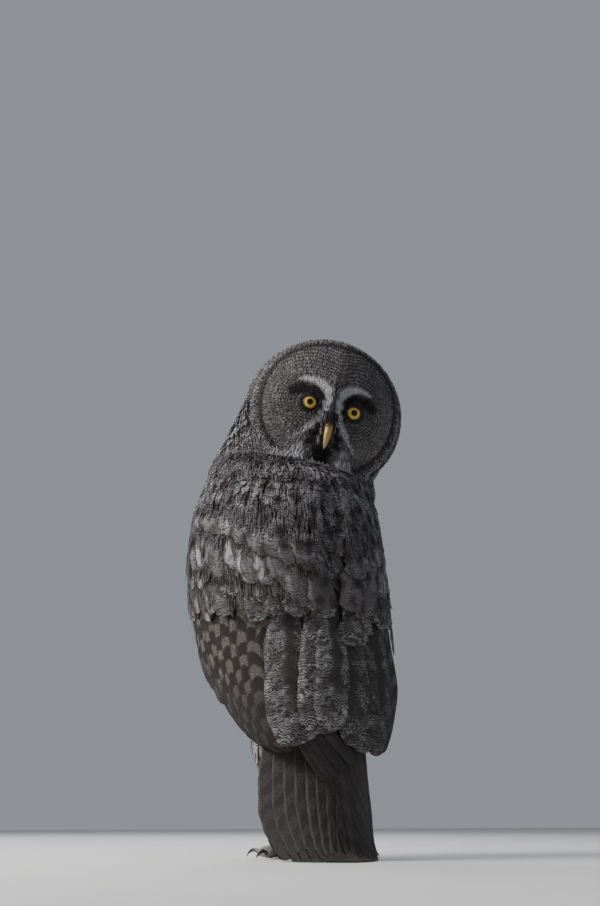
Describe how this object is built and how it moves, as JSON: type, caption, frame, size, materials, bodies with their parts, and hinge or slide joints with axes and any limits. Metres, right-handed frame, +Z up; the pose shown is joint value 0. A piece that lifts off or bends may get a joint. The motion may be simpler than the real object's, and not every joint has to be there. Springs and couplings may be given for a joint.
{
  "type": "great grey owl",
  "caption": "Life-size still model of a great grey owl standing upright, seen from behind with its head turned back over its left shoulder, folded wings and hanging tail.",
  "frame": {"origin": "on the floor, under the middle of the whole owl's bounding box", "axes": "+Z up, the breast faces -Y, the owl's own left side is +X"},
  "size_m": [0.2814, 0.2988, 0.6688],
  "materials": {
    "body_feathers": "soft grey body feathers with fine dark barring",
    "head_feathers": "fine grey face feathers in dark concentric rings",
    "wing_feathers": "brown-grey flight feathers barred pale buff",
    "tail_feathers": "brown-grey barred tail feathers",
    "leg_feathers": "dense pale short feathers",
    "eye": "wet yellow iris with a black pupil",
    "bill": "satin yellow-ochre horn",
    "talon": "satin black horn"
  },
  "bodies": {
    "root": {"torso": "body_feathers", "neck": "body_feathers", "head": "head_feathers", "eye_right": "eye", "eye_left": "eye", "bill_upper": "bill", "bill_lower": "bill", "wing_left": "wing_feathers", "wing_right": "wing_feathers", "tail": "tail_feathers", "leg_left": "leg_feathers", "foot_left": "leg_feathers", "talon_left_1": "talon", "talon_left_2": "talon", "talon_left_3": "talon", "talon_left_4": "talon", "leg_right": "leg_feathers", "foot_right": "leg_feathers", "talon_right_1": "talon", "talon_right_2": "talon", "talon_right_3": "talon", "talon_right_4": "talon"}
  },
  "joints": []
}
